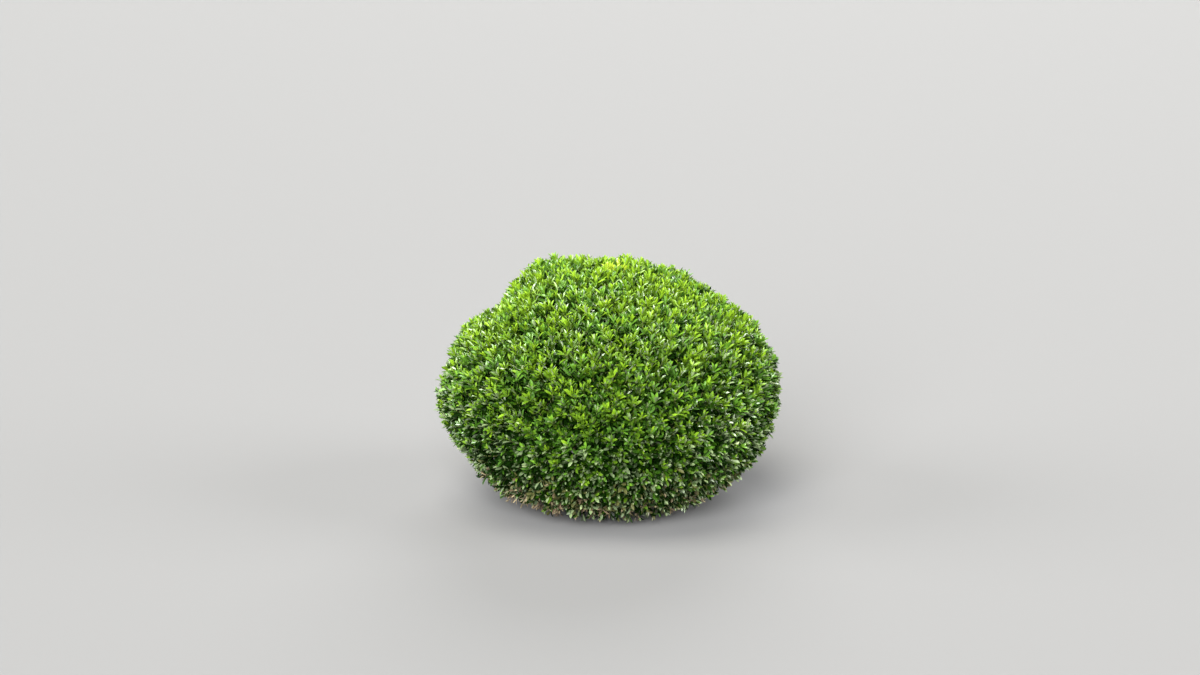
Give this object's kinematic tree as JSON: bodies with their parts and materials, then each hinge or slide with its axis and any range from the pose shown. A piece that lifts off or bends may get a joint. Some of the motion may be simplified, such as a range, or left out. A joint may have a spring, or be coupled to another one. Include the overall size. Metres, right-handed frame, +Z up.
{
  "type": "box topiary ball",
  "caption": "Clipped box shrub grown as a low, flattened ball: short stem with root flare, forking boughs and dense small-leaved foliage down to the ground.",
  "frame": {"origin": "middle of the stem's flat cut at ground level", "axes": "+Z up along the stem, -Y towards the side that faces the viewer, -X towards the flatter shoulder"},
  "size_m": [0.6024, 0.6069, 0.4141],
  "materials": {
    "bark": "matte, finely fissured grey-brown bark",
    "foliage": "small glossy evergreen leaves"
  },
  "bodies": {
    "root": {"stem": "bark", "leader_bough": "bark", "side_bough_1": "bark", "side_bough_2": "bark", "side_bough_3": "bark", "side_bough_4": "bark", "side_bough_5": "bark", "side_bough_6": "bark", "top_foliage": "foliage", "side_foliage_1": "foliage", "side_foliage_2": "foliage", "side_foliage_3": "foliage", "side_foliage_4": "foliage", "side_foliage_5": "foliage", "side_foliage_6": "foliage"}
  },
  "joints": []
}
